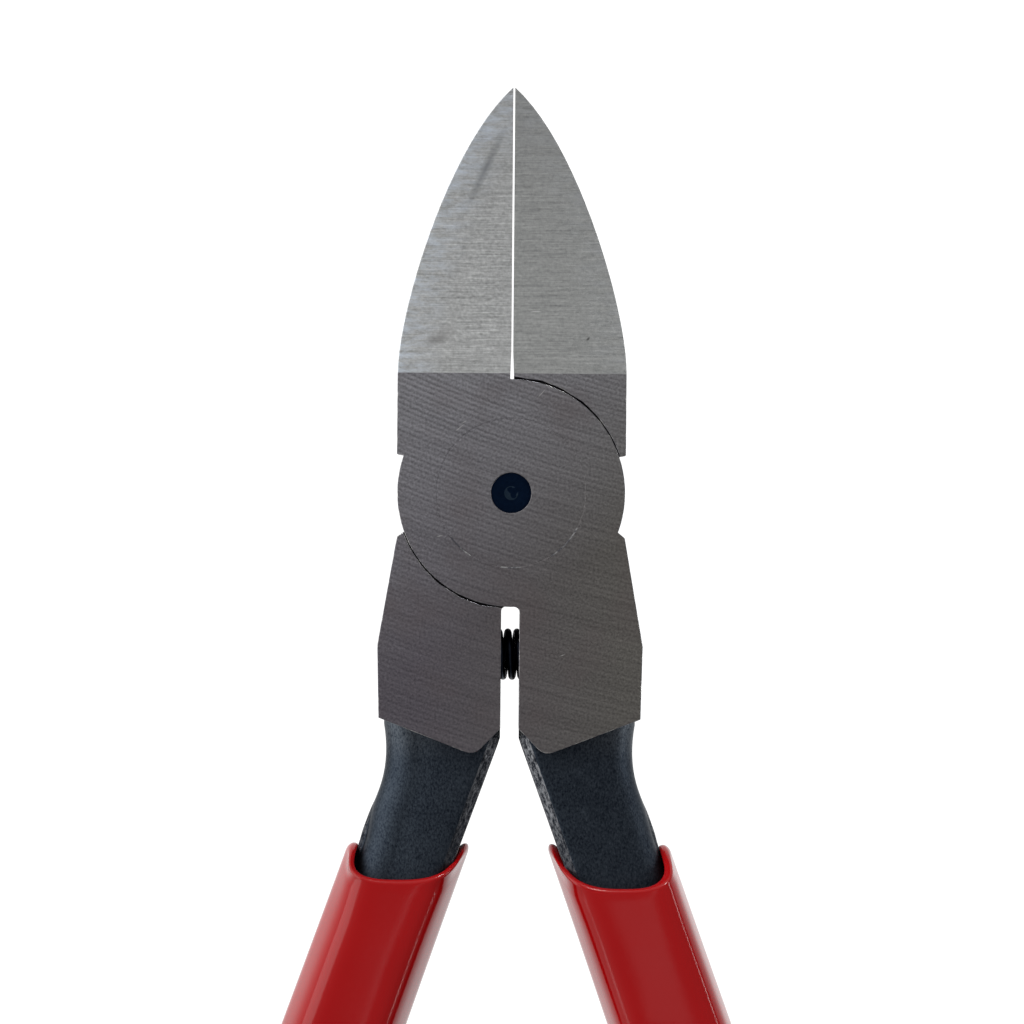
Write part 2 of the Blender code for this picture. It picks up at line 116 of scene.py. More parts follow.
def pieceFrom(bm, name, materials, body, node):  # a part of the tool; the spring rides on no one body
    piece = objectFrom(bm, name, materials)
    if body:
        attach(piece, body)
    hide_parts(node)
    return piece


# Camera: straight above the front face, as the photograph was taken

photoView = {
    "imageSize": 1024,  # pixels
    "pivotPixel": (511.2, 493),
    "pixelsPerMm": 11.4,  # on the joint's front face
    "distance": 900 * mm,  # far enough to keep the handles' outline as photographed
    "roll": math.radians(0.45),
    "clipEnd": 20.0,
}

cameraData = bpy.data.cameras.new("photo_camera")
camera = bpy.data.objects.new("photo_camera", cameraData)
bpy.context.scene.collection.objects.link(camera)
bpy.context.scene.camera = camera
viewWidth = photoView["imageSize"] / photoView["pixelsPerMm"] * mm
cameraData.lens = cameraData.sensor_width * photoView["distance"] / viewWidth
cameraData.clip_end = photoView["clipEnd"]
middlePixel = photoView["imageSize"] / 2
offset = Vector((middlePixel - photoView["pivotPixel"][0], photoView["pivotPixel"][1] - middlePixel))
offset.rotate(Matrix.Rotation(photoView["roll"], 2))
aim = offset / photoView["pixelsPerMm"] * mm
camera.location = (aim.x, aim.y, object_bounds()[1].z + photoView["distance"])
camera.rotation_euler = (0, 0, photoView["roll"])


# Studio: white floor, walls that are pale towards the window and darken overhead, soft boxes at the sides

studio = {
    "floorSize": 6.0,
    "floorDrop": 0.05 * mm,
    "floorWhite": "#f4f4f4",
    "floorShare": 0.95,  # of the floor that is plain white to the eye; the rest takes the shadow
    "floorGlow": 1.2,  # keeps the floor white where the shadow falls thinly
    "overhead": "#8c8d90",
    "windowSide": "#fafafa",
    "farSide": "#7d7d7f",
    "towardsWindow": (-0.85, 0.5, 0.0),
    "windowSpread": 0.7,  # how far round the pale wall reaches
    "overheadFocus": 4.0,  # how closely the dark part keeps to the zenith
    "lamps": (  # place in mm, size in mm, watts
        ("left_box", (-650, 250, 420), (1200, 750), 5.4),
        ("low_strip", (560, -60, 220), (400, 60), 0.75),
        ("high_strip", (60, -40, 950), (400, 25), 0.045),
        ("top_spark", (90, 420, 300), (80, 50), 0.9),
    ),
}

world = bpy.data.worlds.new("pale_studio")
world.use_nodes = True
bpy.context.scene.world = world
tree = world.node_tree
background = tree.nodes["Background"]
direction = addNode(tree, "TexCoord")
upward = addNode(tree, "SeparateXYZ", {}, {"Vector": direction.outputs["Generated"]})
above = addNode(tree, "Math", {"operation": "MAXIMUM", 1: 0.0}, {0: upward.outputs["Z"]})
zenith = addNode(tree, "Math", {"operation": "POWER", 1: studio["overheadFocus"]}, {0: above.outputs[0]})
window = addNode(
    tree,
    "VectorMath",
    {"operation": "DOT_PRODUCT", 1: studio["towardsWindow"]},
    {0: direction.outputs["Generated"]},
)
near = addNode(
    tree,
    "MapRange",
    {"From Min": -studio["windowSpread"], "From Max": studio["windowSpread"]},
    {"Value": window.outputs["Value"]},
)
sides = addNode(
    tree,
    "MixRGB",
    {"Color1": linearColour(studio["farSide"]), "Color2": linearColour(studio["windowSide"])},
    {"Fac": near.outputs[0]},
)
walls = addNode(
    tree,
    "MixRGB",
    {"Color2": linearColour(studio["overhead"])},
    {"Fac": zenith.outputs[0], "Color1": sides.outputs["Color"]},
)
tree.links.new(walls.outputs["Color"], background.inputs["Color"])

floorPaper, tree, shader = startMaterial("white studio paper")
shader.inputs["Base Color"].default_value = linearColour(studio["floorWhite"])
shader.inputs["Roughness"].default_value = 1.0
shader.inputs["Specular IOR Level"].default_value = 0.0
path = addNode(tree, "LightPath")
seen = path.outputs["Is Camera Ray"]
for ray in ("Is Glossy Ray", "Is Transmission Ray"):
    seen = addNode(tree, "Math", {"operation": "MAXIMUM"}, {0: seen, 1: path.outputs[ray]}).outputs[0]
share = addNode(tree, "Math", {"operation": "MULTIPLY", 1: studio["floorShare"]}, {0: seen})
white = addNode(tree, "Emission", {"Strength": studio["floorGlow"]})
paper = addNode(tree, "MixShader", {}, {0: share.outputs[0], 1: shader.outputs[0], 2: white.outputs[0]})
tree.links.new(paper.outputs[0], tree.nodes["Material Output"].inputs["Surface"])

floorMesh = bmesh.new()
bmesh.ops.create_grid(floorMesh, x_segments=1, y_segments=1, size=studio["floorSize"] / 2)
bmesh.ops.translate(floorMesh, vec=(0, 0, -studio["floorDrop"]), verts=floorMesh.verts)
floor = objectFrom(floorMesh, "studio_floor", [floorPaper])

for name, place, size, watts in studio["lamps"]:
    lampData = bpy.data.lights.new(name, "AREA")
    lampData.shape = "RECTANGLE"
    lampData.size, lampData.size_y = size[0] * mm, size[1] * mm
    lampData.energy = watts
    lamp = bpy.data.objects.new(name, lampData)
    bpy.context.scene.collection.objects.link(lamp)
    lamp.location = Vector(place) * mm
    lamp.rotation_euler = lamp.location.to_track_quat("Z", "Y").to_euler()
    lamp.visible_camera = False
bpy.context.scene.view_settings.view_transform = "Standard"
print("studio ready")


# Handles: the centreline that the tangs and sleeves follow

handle = {
    "start": Vector((5.75, -18.8)) * mm,
    "height": 5 * mm,
    "runs": (  # length in mm, first and last heading in degrees
        (10, 5, 19.5),
        (20.5, 19.5, 19.5),
        (53.5, 19.5, -5),
        (22, -5, -5),
    ),
}


def handlePoint(distance):
    place = handle["start"].copy()
    for length, first, last in handle["runs"]:
        run = min(distance, length * mm)
        first = math.radians(first)
        heading = first + (math.radians(last) - first) * run / (length * mm)
        middle, halfTurn = (first + heading) / 2, (heading - first) / 2
        chord = run * (math.sin(halfTurn) / halfTurn if halfTurn else 1.0)
        place += chord * Vector((math.sin(middle), -math.cos(middle)))
        distance -= run
        if distance <= 0:
            break
    return place, heading


def easeBetween(value, low, high):
    share = min(max((value - low) / (high - low), 0), 1)
    return share * share * (3 - 2 * share)


# Necks: forged bars with a round outer side, a trimmed inner corner and a flash ridge half way down

neck = {
    "toe": Vector((0.86, -21.7)) * mm,  # where the inner edge leaves the slot; runs are measured from here
    "slotEdge": 0.82 * mm,
    "heading": math.radians(20.0),
    "width": 8.42 * mm,
    "flare": 1.83 * mm,  # extra width at the pad
    "flareEnd": 7.8 * mm,
    "flareRun": 5.93 * mm,
    "slimming": {1: 0.2 * mm, -1: 0.5 * mm},  # of the outer side beside the flash, right and left
    "slimRun": (8.8 * mm, 13.0 * mm),
    "flash": 0.1 * mm,
    "flashRun": (8.4 * mm, 10.0 * mm, 11.5 * mm, 13.0 * mm),
    "flashHalf": 0.95 * mm,
    "flashFoot": 0.3,  # share of the ridge that is left where it meets the round side
    "waists": (0.5, 0.4),  # where the flat of the flash and of the inner side are divided
    "halfDepth": 3.6 * mm,
    "draft": 0.4 * mm,  # how much lower the face is on its outer side
    "outerRound": (3.1 * mm, 1.95 * mm),
    "roundSteps": 12,
    "faceSteps": 6,
    "trim": (0.93 * mm, 0.42 * mm),
    "trimBreak": 0.09 * mm,
    "trimPoints": 4,  # points of half the section that lie on the trimmed corner
    "flashPoints": 3,  # and on the flash
    "root": -2 * mm,
    "end": 24 * mm,
    "step": 0.6 * mm,
    "tangRun": (28 * mm, 100.5 * mm),
    "tangHalf": 4.0 * mm,
    "tangStep": 4 * mm,
}


def neckSection(inner, outer, flash):  # lateral and height, from the flash, over the front and back to it
    depth = neck["halfDepth"]
    wide, deep = neck["outerRound"]
    trimWide, trimDeep = neck["trim"]
    small = neck["trimBreak"]
    flashWaist, innerWaist = neck["waists"]
    front = [(flash, neck["flashHalf"] * flashWaist), (flash, neck["flashHalf"])]
    front.append((outer + (flash - outer) * neck["flashFoot"], neck["flashHalf"] + small))
    for i in range(neck["roundSteps"] + 1):
        turn = math.pi / 2 * i / neck["roundSteps"]
        height = depth - neck["draft"] - deep * (1 - math.sin(turn))
        front.append((outer - wide * (1 - math.cos(turn)), height))
    for i in range(1, neck["faceSteps"]):
        share = i / neck["faceSteps"]
        lateral = (outer - wide) * (1 - share) + (inner + trimWide + small) * share
        front.append((lateral, depth - neck["draft"] * (1 - share) ** 2))
    front += [
        (inner + trimWide + small, depth),
        (inner + trimWide - small, depth - small),
        (inner + small, depth - trimDeep + small),
        (inner, depth - trimDeep - small),
        (inner, (depth - trimDeep) * innerWaist),
    ]
    return front + [(lateral, -height) for lateral, height in front[::-1]]


def neckRings(side):
    along = Vector((math.sin(neck["heading"]), -math.cos(neck["heading"])))
    outward = Vector((math.cos(neck["heading"]), math.sin(neck["heading"])))
    rings = []
    count = round((neck["end"] - neck["root"]) / neck["step"])
    for i in range(count + 1):
        distance = neck["root"] + (neck["end"] - neck["root"]) * i / count
        origin = neck["toe"] + along * distance
        inner = max(0, (neck["slotEdge"] - origin.x) / outward.x)
        flared = neck["flare"] * min(1, max(0, (neck["flareEnd"] - distance) / neck["flareRun"]) ** 2)
        full = neck["width"] + flared
        rise, top, fall, gone = neck["flashRun"]
        ridge = easeBetween(distance, rise, top) - easeBetween(distance, fall, gone)
        flash = full + neck["flash"] * ridge
        outer = full - neck["slimming"][side] * easeBetween(distance, *neck["slimRun"])
        section = neckSection(inner, outer, flash)
        rings.append([(*(origin + outward * lateral), handle["height"] + z) for lateral, z in section])
    first, last = neck["tangRun"]
    count = round((last - first) / neck["tangStep"])
    half = neck["tangHalf"]
    for i in range(count + 1):
        place, heading = handlePoint(first + (last - first) * i / count)
        outward = Vector((math.cos(heading), math.sin(heading)))
        section = neckSection(-half, half - neck["slimming"][side], half)
        rings.append([(*(place + outward * lateral), handle["height"] + z) for lateral, z in section])
    return rings


# Finishes

def drawMarks(tree, place, colour, marks):  # scratches, smears and pits
    for start, end, width, soft, shade, share in marks:  # start, end and width in mm
        start, end = Vector(start) * mm, Vector(end) * mm
        middle, run = (start + end) / 2, end - start
        along = addNode(
            tree,
            "Mapping",
            {
                "vector_type": "TEXTURE",
                "Location": (*middle, 0),
                "Rotation": (0, 0, math.atan2(run.y, run.x)),
            },
            {"Vector": place},
        )
        reach = addNode(
            tree,
            "VectorMath",
            {"operation": "MULTIPLY", 1: (2 / run.length, 2 / (width * mm), 0)},
            {0: along.outputs[0]},
        )
        far = addNode(tree, "VectorMath", {"operation": "LENGTH"}, {0: reach.outputs[0]})
        mark = addNode(
            tree,
            "MapRange",
            {"From Min": 1.0, "From Max": 1.0 - soft, "To Max": share},
            {"Value": far.outputs["Value"]},
        )
        colour = addNode(
            tree, "MixRGB", {"Color2": linearColour(shade)}, {"Fac": mark.outputs[0], "Color1": colour}
        ).outputs["Color"]
    return colour


def finishSteel(tree, shader, colour, pattern, look):  # roughness, and any relief, follow one pattern
    tree.links.new(colour, shader.inputs["Base Color"])
    shader.inputs["Metallic"].default_value = 1.0
    atLow, atHigh = look["roughness"]
    rough = addNode(tree, "MapRange", {"To Min": atLow, "To Max": atHigh}, {"Value": pattern})
    tree.links.new(rough.outputs[0], shader.inputs["Roughness"])
    if "relief" in look:
        strength, depth = look["relief"]
        bump = addNode(tree, "Bump", {"Strength": strength, "Distance": depth}, {"Height": pattern})
        tree.links.new(bump.outputs[0], shader.inputs["Normal"])


bladeGrind = {
    "left": {
        "dark": "#9d9e9c",
        "light": "#e1e2e0",
        "coolSheen": "#e3ebf4",
        "paintedSheen": 0.9,
        "marks": (
            ((-0.6, 32.4), (-4.2, 24.8), 1.0, 0.9, "#8b8d8f", 0.75),
            ((-8.2, 12.9), (-4.8, 14.2), 1.3, 0.9, "#8e8c8a", 0.6),
        ),
    },
    # the right blade is painted darker than the left, as shade, and carries less of the painted sheen
    "right": {
        "dark": "#9a9b99",
        "light": "#c1c2bf",
        "coolSheen": "#c4c7ca",
        "paintedSheen": 0.4,
        "marks": (
            ((6.45, 13.35), (6.8, 13.75), 0.28, 0.6, "#5c5c5a", 0.8),
            ((1.5, 15.9), (2.6, 15.95), 0.07, 0.5, "#efefec", 0.7),
        ),
    },
    "grains": (  # length, width and share; real lines are about 0.02 mm wide, drawn coarser to show
        (6 * mm, 0.11 * mm, 0.35),
        (1.3 * mm, 0.15 * mm, 0.3),
        (0.3 * mm, 0.24 * mm, 0.35),
    ),
    "tipShade": "#e4e4e5",  # darker towards the tip
    "sheenPatchSize": (2.4 * mm, 0.7 * mm),
    "root": 10.5 * mm,
    "length": 25.1 * mm,
    "halfWidth": 10.05 * mm,
    "outlinePower": 1.85,  # the blades' backs follow width = 1 - height to this power
    "sheenBand": (0.6, 0.97),  # from the middle of the tool to the back edge
    "sheenSpread": (0.42, 0.66),
    "lineSpread": (0.32, 0.68),
    "roughness": (0.36, 0.5),
    "relief": (0.35, 0.02 * mm),
}


def groundBladeSteel(side):
    # Bare tool steel, surface ground across the blades: pale lines along X, with a bluish sheen painted at
    # the backs.
    look = bladeGrind[side]
    material, tree, shader = startMaterial("surface-ground tool steel, " + side)
    place = addNode(tree, "TexCoord").outputs["Object"]
    across = addNode(tree, "SeparateXYZ", {}, {"Vector": place})
    lines = None
    for length, width, share in bladeGrind["grains"]:
        scale = (1 / length, 1 / width, 1 / width)
        lineSpace = addNode(tree, "Mapping", {"Scale": scale}, {"Vector": place})
        grain = addNode(
            tree,
            "TexNoise",
            {"Scale": 1.0, "Detail": 3.0, "Roughness": 0.6},
            {"Vector": lineSpace.outputs[0]},
        )
        sumLinks = {0: grain.outputs["Fac"]}
        if lines:
            sumLinks[2] = lines.outputs[0]
        lines = addNode(tree, "Math", {"operation": "MULTIPLY_ADD", 1: share, 2: 0.0}, sumLinks)
    low, high = bladeGrind["lineSpread"]
    spread = addNode(tree, "MapRange", {"From Min": low, "From Max": high}, {"Value": lines.outputs[0]})
    ground = addNode(
        tree,
        "MixRGB",
        {"Color1": linearColour(look["dark"]), "Color2": linearColour(look["light"])},
        {"Fac": spread.outputs[0]},
    )
    height = addNode(
        tree,
        "MapRange",
        {"From Min": bladeGrind["root"], "From Max": bladeGrind["root"] + bladeGrind["length"]},
        {"Value": across.outputs["Y"]},
    )
    power = bladeGrind["outlinePower"]
    curve = addNode(tree, "Math", {"operation": "POWER", 1: power}, {0: height.outputs[0]})
    fromMiddle = addNode(tree, "Math", {"operation": "ABSOLUTE"}, {0: across.outputs["X"]})
    nearBack = addNode(
        tree,
        "Math",
        {"operation": "MULTIPLY_ADD", 1: 1 / bladeGrind["halfWidth"]},
        {0: fromMiddle.outputs[0], 2: curve.outputs[0]},
    )
    low, high = bladeGrind["sheenBand"]
    band = addNode(
        tree,
        "MapRange",
        {"From Min": low, "From Max": high, "To Max": look["paintedSheen"]},
        {"Value": nearBack.outputs[0]},
    )
    # painted reflection: a bluish sheen laid in patches along the blades' backs
    sheenLong, sheenWide = bladeGrind["sheenPatchSize"]
    sheenSpace = addNode(
        tree, "Mapping", {"Scale": (1 / sheenLong, 1 / sheenWide, 1 / sheenWide)}, {"Vector": place}
    )
    paintedSheen = addNode(
        tree, "TexNoise", {"Scale": 1.0, "Detail": 5.0, "Roughness": 0.75}, {"Vector": sheenSpace.outputs[0]}
    )
    low, high = bladeGrind["sheenSpread"]
    sheenPatches = addNode(tree, "MapRange", {"From Min": low, "From Max": high}, {"Value": paintedSheen.outputs["Fac"]})
    sheenShare = addNode(tree, "Math", {"operation": "MULTIPLY"}, {0: band.outputs[0], 1: sheenPatches.outputs[0]})
    tinted = addNode(
        tree,
        "MixRGB",
        {"Color2": linearColour(look["coolSheen"])},
        {"Fac": sheenShare.outputs[0], "Color1": ground.outputs["Color"]},
    )
    shaded = addNode(
        tree,
        "MixRGB",
        {"blend_type": "MULTIPLY", "Color2": linearColour(bladeGrind["tipShade"])},
        {"Fac": curve.outputs[0], "Color1": tinted.outputs["Color"]},
    )
    marked = drawMarks(tree, place, shaded.outputs["Color"], look["marks"])
    finishSteel(tree, shader, marked, spread.outputs[0], bladeGrind)
    return material


def oxidedJointSteel():
    # Cup-wheel ground steel under thin black oxide: dark purple-grey, with even lines on wide arcs.
    look = {
        "lowerLeft": ("#5b565c", "#736e74"),
        "lowerRight": ("#5f5c58", "#797671"),
        "upper": ("#79787b", "#9c9b9f"),
        "lowerWidth": (-8 * mm, 10 * mm),
        "lines": (0.092, 0.23),  # strength of the lines on the pads and on the left shoulder
        "lineSlip": 4.0,
        "scratch": (0.1, 0.9, "#c9c7c3", 0.7),
        "scratches": (
            ((-5.0, 5.3), (-4.1, 6.1)),
            ((-4.5, 6.0), (-3.9, 6.35)),
            ((2.2, 8.3), (3.0, 9.2)),
            ((-6.6, -3.9), (-5.9, -3.75)),
            ((4.3, -14.3), (4.9, -14.1)),
        ),
        "paling": (-10 * mm, 12 * mm),  # from the pads up to the left shoulder, paler towards the shoulder
        "leftward": 0.6,  # how far the paling leans to the left
        "warm": "#6c6262",
        "warmSpread": (0.48, 0.72, 0.4),  # of the clouds that turn warm, and their share
        "wheelCentre": (38.6 * mm, 119 * mm, 0),  # of the arcs that the wheel left
        "linePitch": 0.44 * mm,
        "lineWidth": 0.3 * mm,  # real lines are about 0.03 mm, drawn coarser to show
        "lineLength": 14 * mm,
        "cloud": 6 * mm,
        "grain": 0.2 * mm,  # of the oxide, drawn coarser to show
        "grainShare": 1.6,
        "roughness": (0.38, 0.5),
        "relief": (0.25, 0.02 * mm),
    }
    material, tree, shader = startMaterial("black oxide on ground steel")
    place = addNode(tree, "TexCoord").outputs["Object"]
    across = addNode(tree, "SeparateXYZ", {}, {"Vector": place})
    wheel = addNode(tree, "VectorMath", {"operation": "SUBTRACT", 1: look["wheelCentre"]}, {0: place})
    flat = addNode(tree, "VectorMath", {"operation": "MULTIPLY", 1: (1, 1, 0)}, {0: wheel.outputs[0]})
    radius = addNode(tree, "VectorMath", {"operation": "LENGTH"}, {0: flat.outputs[0]})
    arcs = addNode(
        tree,
        "CombineXYZ",
        {},
        {"X": radius.outputs["Value"], "Y": across.outputs["X"], "Z": across.outputs["Z"]},
    )
    lineScale = (1 / look["lineWidth"], 1 / look["lineLength"], 1 / look["lineLength"])
    lineSpace = addNode(tree, "Mapping", {"Scale": lineScale}, {"Vector": arcs.outputs[0]})
    lines = addNode(
        tree, "TexNoise", {"Scale": 1.0, "Detail": 4.0, "Roughness": 0.7}, {"Vector": lineSpace.outputs[0]}
    )
    perPitch = math.tau / look["linePitch"]
    phase = addNode(tree, "Math", {"operation": "MULTIPLY", 1: perPitch}, {0: radius.outputs["Value"]})
    slip = addNode(
        tree,
        "Math",
        {"operation": "MULTIPLY_ADD", 1: look["lineSlip"]},
        {0: lines.outputs["Fac"], 2: phase.outputs[0]},
    )
    ridges = addNode(tree, "Math", {"operation": "SINE"}, {0: slip.outputs[0]})
    upLeft = addNode(
        tree,
        "Math",
        {"operation": "MULTIPLY_ADD", 1: -look["leftward"]},
        {0: across.outputs["X"], 2: across.outputs["Y"]},
    )
    low, high = look["paling"]
    paling = addNode(tree, "MapRange", {"From Min": low, "From Max": high}, {"Value": upLeft.outputs[0]})
    faint, strong = look["lines"]
    depth = addNode(tree, "MapRange", {"To Min": faint, "To Max": strong}, {"Value": paling.outputs[0]})
    ridged = addNode(
        tree,
        "Math",
        {"operation": "MULTIPLY_ADD"},
        {0: ridges.outputs[0], 1: depth.outputs[0], 2: lines.outputs["Fac"]},
    )
    grain = addNode(tree, "TexNoise", {"Scale": 1 / look["grain"], "Detail": 1.0}, {"Vector": place})
    raised = addNode(tree, "Math", {"operation": "SUBTRACT", 1: 0.5}, {0: grain.outputs["Fac"]})
    pattern = addNode(
        tree,
        "Math",
        {"operation": "MULTIPLY_ADD", 1: look["grainShare"]},
        {0: raised.outputs[0], 2: ridged.outputs[0]},
    )
    shades = []
    for dark, light in (look["lowerLeft"], look["lowerRight"], look["upper"]):
        shades.append(
            addNode(
                tree,
                "MixRGB",
                {"Color1": linearColour(dark), "Color2": linearColour(light)},
                {"Fac": pattern.outputs[0]},
            ).outputs["Color"]
        )
    low, high = look["lowerWidth"]
    rightward = addNode(
        tree, "MapRange", {"From Min": low, "From Max": high}, {"Value": across.outputs["X"]}
    )
    ground = shades[0]
    for share, shade in ((rightward, shades[1]), (paling, shades[2])):
        ground = addNode(
            tree, "MixRGB", {}, {"Fac": share.outputs[0], "Color1": ground, "Color2": shade}
        ).outputs["Color"]
    clouds = addNode(tree, "TexNoise", {"Scale": 1 / look["cloud"], "Detail": 3.0}, {"Vector": place})
    low, high, most = look["warmSpread"]
    patchy = addNode(
        tree,
        "MapRange",
        {"From Min": low, "From Max": high, "To Max": most},
        {"Value": clouds.outputs["Fac"]},
    )
    tinted = addNode(
        tree,
        "MixRGB",
        {"Color2": linearColour(look["warm"])},
        {"Fac": patchy.outputs[0], "Color1": ground},
    )
    marks = [(start, end, *look["scratch"]) for start, end in look["scratches"]]
    colour = drawMarks(tree, place, tinted.outputs["Color"], marks)
    finishSteel(tree, shader, colour, pattern.outputs[0], look)
    return material


def oxidedForging():
    # Forged steel under thick black oxide: blue-black and finely speckled, with a dull sheen.
    look = {
        "dark": "#161c25",
        "light": "#414850",
        "speckle": (0.15 * mm, 0.26 * mm),  # across and along the neck, drawn coarser to show
        "cloud": 3 * mm,
        "cloudShare": 0.2,
        "spread": (0.31, 0.74),
        "brushed": "#60656a",  # where the pad's wheel ran out over the neck's outer corner
        "runOut": ((4.5 * mm, 8.5 * mm), (-23.5 * mm, -20 * mm)),
        "roughness": (0.36, 0.58),
        "relief": (0.4, 0.04 * mm),
    }
    material, tree, shader = startMaterial("black oxide on forged steel")
    place = addNode(tree, "TexCoord").outputs["Object"]
    fine, long = look["speckle"]
    grainSpace = addNode(tree, "Mapping", {"Scale": (1 / fine, 1 / long, 1 / fine)}, {"Vector": place})
    speckle = addNode(
        tree, "TexNoise", {"Scale": 1.0, "Detail": 2.0, "Roughness": 0.7}, {"Vector": grainSpace.outputs[0]}
    )
    clouds = addNode(tree, "TexNoise", {"Scale": 1 / look["cloud"], "Detail": 3.0}, {"Vector": place})
    mixed = addNode(
        tree,
        "MixRGB",
        {"Fac": look["cloudShare"]},
        {"Color1": speckle.outputs["Fac"], "Color2": clouds.outputs["Fac"]},
    )
    low, high = look["spread"]
    spread = addNode(
        tree, "MapRange", {"From Min": low, "From Max": high}, {"Value": mixed.outputs["Color"]}
    )
    colour = addNode(
        tree,
        "MixRGB",
        {"Color1": linearColour(look["dark"]), "Color2": linearColour(look["light"])},
        {"Fac": spread.outputs[0]},
    )
    across = addNode(tree, "SeparateXYZ", {}, {"Vector": place})
    fromMiddle = addNode(tree, "Math", {"operation": "ABSOLUTE"}, {0: across.outputs["X"]})
    worn = spread.outputs[0]
    for value, (low, high) in zip((fromMiddle.outputs[0], across.outputs["Y"]), look["runOut"]):
        reach = addNode(tree, "MapRange", {"From Min": low, "From Max": high}, {"Value": value})
        worn = addNode(tree, "Math", {"operation": "MULTIPLY"}, {0: worn, 1: reach.outputs[0]}).outputs[0]
    brushed = addNode(
        tree,
        "MixRGB",
        {"Color2": linearColour(look["brushed"])},
        {"Fac": worn, "Color1": colour.outputs["Color"]},
    )
    finishSteel(tree, shader, brushed.outputs["Color"], speckle.outputs["Fac"], look)
    return material


def trimmedFlash():
    # Where the forging's flash was trimmed off: torn, speckled steel, paler than the oxide beside it.
    look = {
        "dark": "#1f2228",
        "bare": "#b8babe",
        "tear": (0.18 * mm, 0.55 * mm),
        "spread": (0.42, 0.75),
        "sideShadeAndFade": ((-3 * mm, 3 * mm, 0.5), (-34 * mm, -24 * mm, 0.2)),  # the left neck's strip is painted darker, as shade; both fade further down; barest at the top of the right neck
        "roughness": (0.5, 0.32),
        "relief": (0.6, 0.06 * mm),
    }
    material, tree, shader = startMaterial("trimmed forging flash")
    place = addNode(tree, "TexCoord").outputs["Object"]
    across = addNode(tree, "SeparateXYZ", {}, {"Vector": place})
    fromMiddle = addNode(tree, "Math", {"operation": "ABSOLUTE"}, {0: across.outputs["X"]})
    folded = addNode(
        tree,
        "CombineXYZ",
        {},
        {"X": fromMiddle.outputs[0], "Y": across.outputs["Y"], "Z": across.outputs["Z"]},
    )
    fine, long = look["tear"]
    along = addNode(
        tree,
        "Mapping",
        {"vector_type": "TEXTURE", "Rotation": (0, 0, neck["heading"]), "Scale": (fine, long, fine)},
        {"Vector": folded.outputs[0]},
    )
    tear = addNode(
        tree, "TexNoise", {"Scale": 1.0, "Detail": 5.0, "Roughness": 0.75}, {"Vector": along.outputs[0]}
    )
    low, high = look["spread"]
    torn = addNode(tree, "MapRange", {"From Min": low, "From Max": high}, {"Value": tear.outputs["Fac"]})
    bare = torn.outputs[0]
    # painted shade: the left neck's strip gets less bare steel than the right's
    for value, (low, high, least) in zip((across.outputs["X"], across.outputs["Y"]), look["sideShadeAndFade"]):
        reach = addNode(
            tree, "MapRange", {"From Min": low, "From Max": high, "To Min": least}, {"Value": value}
        )
        bare = addNode(tree, "Math", {"operation": "MULTIPLY"}, {0: bare, 1: reach.outputs[0]}).outputs[0]
    colour = addNode(
        tree,
        "MixRGB",
        {"Color1": linearColour(look["dark"]), "Color2": linearColour(look["bare"])},
        {"Fac": bare},
    )
    finishSteel(tree, shader, colour.outputs["Color"], tear.outputs["Fac"], look)
    return material


def wornEdgeAndGlintSteel():
    # Corners where handling has rubbed the oxide thin: broken glints of bare steel on dark. On the rivet's
    # rim the same finish paints glints where the light catches it.
    look = {
        "dark": "#646368",
        "bare": "#cfcecb",
        "wearAndSheen": 1.2 * mm,
        "spread": (0.48, 0.7),
        "roughness": 0.34,
    }
    material, tree, shader = startMaterial("rubbed oxide edge and painted glint")
    place = addNode(tree, "TexCoord").outputs["Object"]
    wearAndSheen = addNode(
        tree, "TexNoise", {"Scale": 1 / look["wearAndSheen"], "Detail": 4.0, "Roughness": 0.7}, {"Vector": place}
    )
    low, high = look["spread"]
    bare = addNode(tree, "MapRange", {"From Min": low, "From Max": high}, {"Value": wearAndSheen.outputs["Fac"]})
    colour = addNode(
        tree,
        "MixRGB",
        {"Color1": linearColour(look["dark"]), "Color2": linearColour(look["bare"])},
        {"Fac": bare.outputs[0]},
    )
    tree.links.new(colour.outputs["Color"], shader.inputs["Base Color"])
    shader.inputs["Metallic"].default_value = 1.0
    shader.inputs["Roughness"].default_value = look["roughness"]
    return material


def dippedVinyl():
    # Plasticised PVC, hot dipped: deep red and glossy, with slow waves where the coat ran before it set.
    look = {
        "deep": "#900608",
        "bright": "#9b090b",
        "wave": 9 * mm,
        "peel": 0.5 * mm,
        "roughness": (0.1, 0.18),
        "ior": 1.53,
        "gloss": 0.28,
        "waveRelief": (0.5, 0.12 * mm),
        "peelRelief": (0.1, 0.01 * mm),
    }
    material, tree, shader = startMaterial("dipped red PVC")
    place = addNode(tree, "TexCoord").outputs["Object"]
    wave = addNode(tree, "TexNoise", {"Scale": 1 / look["wave"], "Detail": 1.0}, {"Vector": place})
    peel = addNode(tree, "TexNoise", {"Scale": 1 / look["peel"], "Detail": 1.0}, {"Vector": place})
    colour = addNode(
        tree,
        "MixRGB",
        {"Color1": linearColour(look["deep"]), "Color2": linearColour(look["bright"])},
        {"Fac": wave.outputs["Fac"]},
    )
    tree.links.new(colour.outputs["Color"], shader.inputs["Base Color"])
    atLow, atHigh = look["roughness"]
    rough = addNode(tree, "MapRange", {"To Min": atLow, "To Max": atHigh}, {"Value": wave.outputs["Fac"]})
    tree.links.new(rough.outputs[0], shader.inputs["Roughness"])
    shader.inputs["IOR"].default_value = look["ior"]
    shader.inputs["Specular IOR Level"].default_value = look["gloss"]
    strength, depth = look["waveRelief"]
    waves = addNode(
        tree, "Bump", {"Strength": strength, "Distance": depth}, {"Height": wave.outputs["Fac"]}
    )
    strength, depth = look["peelRelief"]
    surface = addNode(
        tree,
        "Bump",
        {"Strength": strength, "Distance": depth},
        {"Height": peel.outputs["Fac"], "Normal": waves.outputs[0]},
    )
    tree.links.new(surface.outputs[0], shader.inputs["Normal"])
    return material


